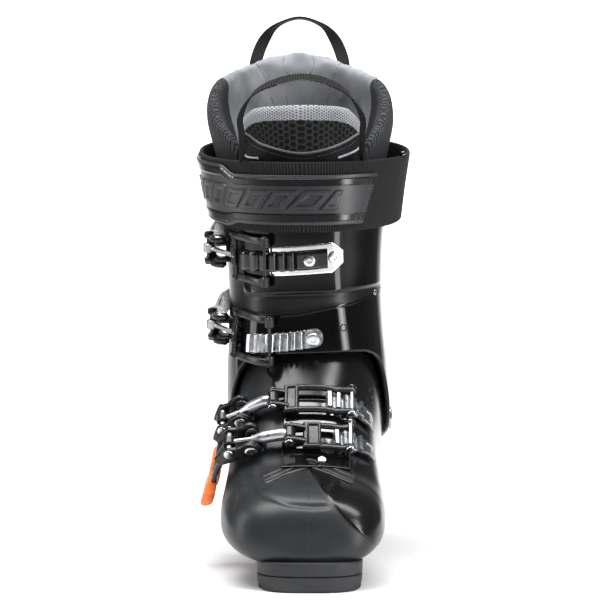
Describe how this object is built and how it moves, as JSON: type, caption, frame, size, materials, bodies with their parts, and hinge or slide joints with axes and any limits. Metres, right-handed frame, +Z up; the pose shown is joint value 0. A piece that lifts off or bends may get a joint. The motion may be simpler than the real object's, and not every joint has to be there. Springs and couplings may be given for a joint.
{
  "type": "alpine ski boot",
  "caption": "Overlap alpine ski boot for the right foot with hinged cuff, buckles, liner and power strap.",
  "frame": {"origin": "centre of the flat rest face of the heel sole pad", "axes": "+Z up, -Y towards the toe, +X towards the inner (medial) side of the foot"},
  "size_m": [0.1568, 0.313, 0.4086],
  "materials": {
    "shell": "fine matte moulded polyurethane, satin",
    "cuff": "black moulded plastic, part satin and part gloss",
    "gloss_black": "gloss black",
    "satin_black": "satin black glass-filled plastic",
    "black_metal": "satin black coated aluminium",
    "sole": "matte moulded sole compound",
    "silver": "polished cast aluminium",
    "chrome": "mirror polish",
    "steel": "brushed, slightly domed heads",
    "orange": "satin orange",
    "liner_grey": "smooth light grey lining",
    "liner_dark": "dark knit",
    "webbing": "ribbed woven webbing"
  },
  "bodies": {
    "lower_boot": {"lower_shell": "shell", "toe_sole": "sole", "heel_sole": "sole", "toe_sole_screw_1": "steel", "toe_sole_screw_2": "steel", "heel_sole_screw_1": "steel", "heel_sole_screw_2": "steel", "boot_board": "satin_black", "liner_foot": "liner_dark", "footbed": "liner_grey", "overlap_cover": "gloss_black", "cover_screw": "steel", "instep_ladder": "silver", "toe_ladder": "silver", "instep_buckle_base": "black_metal", "toe_buckle_base": "black_metal"},
    "cuff": {"cuff_shell": "cuff", "ankle_pivot_lateral": "steel", "ankle_pivot_medial": "steel", "spine_bolt_1": "steel", "spine_bolt_2": "steel", "liner_cuff": "liner_grey", "tongue": "liner_dark", "rear_pull_loop": "webbing", "tongue_pull_loop": "webbing", "power_strap": "webbing", "strap_overlay": "satin_black", "upper_base_plate": "chrome", "upper_ladder": "satin_black", "lower_ladder": "silver", "base_plate_screw": "steel", "upper_ladder_screw": "steel", "lower_ladder_screw": "steel", "upper_cuff_buckle_base": "black_metal", "lower_cuff_buckle_base": "black_metal"},
    "upper_cuff_lever": {"upper_cuff_lever": "black_metal", "upper_cuff_trunnion_pin": "steel"},
    "upper_cuff_bail": {"upper_cuff_bail": "black_metal", "upper_cuff_adjuster_rod": "steel", "upper_cuff_crossbar": "silver"},
    "lower_cuff_lever": {"lower_cuff_lever": "black_metal", "lower_cuff_trunnion_pin": "steel"},
    "lower_cuff_bail": {"lower_cuff_bail": "black_metal", "lower_cuff_adjuster_rod": "steel", "lower_cuff_crossbar": "silver"},
    "instep_lever": {"instep_lever": "black_metal", "instep_lever_tip": "orange", "instep_trunnion_pin": "steel"},
    "instep_link": {"instep_link": "silver", "instep_clevis_pin": "steel"},
    "instep_strap": {"instep_strap_frame": "black_metal", "instep_crossbar": "silver"},
    "toe_lever": {"toe_lever": "black_metal", "toe_lever_tip": "orange", "toe_trunnion_pin": "steel"},
    "toe_link": {"toe_link": "silver", "toe_clevis_pin": "steel"},
    "toe_strap": {"toe_strap_frame": "black_metal", "toe_crossbar": "silver"}
  },
  "joints": [
    {"name": "cuff_flex", "type": "hinge", "parent": "lower_boot", "child": "cuff", "pos_m": [0, -0.05, 0.097], "axis": [-1, 0, 0], "range_deg": [-7, 0], "stiffness_Nm_per_rad": 120},
    {"name": "upper_cuff_lever_swing", "type": "hinge", "parent": "cuff", "child": "upper_cuff_lever", "pos_m": [-0.06436, -0.1309, 0.22117], "axis": [0, -0.2425, 0.9702], "range_deg": [0, 135]},
    {"name": "upper_cuff_bail_swing", "type": "hinge", "parent": "upper_cuff_lever", "child": "upper_cuff_bail", "pos_m": [-0.07218, -0.11814, 0.22436], "axis": [0, -0.2425, 0.9702], "range_deg": [-156.25, 0]},
    {"name": "lower_cuff_lever_swing", "type": "hinge", "parent": "cuff", "child": "lower_cuff_lever", "pos_m": [-0.06268, -0.12556, 0.16586], "axis": [0, -0.2425, 0.9702], "range_deg": [0, 135]},
    {"name": "lower_cuff_bail_swing", "type": "hinge", "parent": "lower_cuff_lever", "child": "lower_cuff_bail", "pos_m": [-0.07001, -0.11253, 0.16911], "axis": [0, -0.2425, 0.9702], "range_deg": [-156.25, 0]},
    {"name": "instep_lever_swing", "type": "hinge", "parent": "lower_boot", "child": "instep_lever", "pos_m": [-0.04756, -0.17011, 0.10921], "axis": [0, 0.7, 0.7141], "range_deg": [0, 105]},
    {"name": "instep_link_swing", "type": "hinge", "parent": "instep_lever", "child": "instep_link", "pos_m": [-0.06029, -0.16406, 0.10327], "axis": [0, 0.7, 0.7141], "range_deg": [-121.75, 0]},
    {"name": "instep_strap_lift", "type": "hinge", "parent": "instep_link", "child": "instep_strap", "pos_m": [-0.02506, -0.1789, 0.11782], "axis": [0, 0.7, 0.7141], "range_deg": [-35, 0]},
    {"name": "toe_lever_swing", "type": "hinge", "parent": "lower_boot", "child": "toe_lever", "pos_m": [-0.03952, -0.19955, 0.092], "axis": [0, 0.7, 0.7141], "range_deg": [0, 105]},
    {"name": "toe_link_swing", "type": "hinge", "parent": "toe_lever", "child": "toe_link", "pos_m": [-0.05443, -0.19711, 0.08961], "axis": [0, 0.7, 0.7141], "range_deg": [-121.75, 0]},
    {"name": "toe_strap_lift", "type": "hinge", "parent": "toe_link", "child": "toe_strap", "pos_m": [-0.01344, -0.20318, 0.09555], "axis": [0, 0.7, 0.7141], "range_deg": [-35, 0]}
  ],
  "couplings": [
    {"joint": "upper_cuff_bail_swing", "follows": "upper_cuff_lever_swing", "ratio": -1.15},
    {"joint": "lower_cuff_bail_swing", "follows": "lower_cuff_lever_swing", "ratio": -1.15},
    {"joint": "instep_link_swing", "follows": "instep_lever_swing", "ratio": -1.15},
    {"joint": "toe_link_swing", "follows": "toe_lever_swing", "ratio": -1.15}
  ]
}
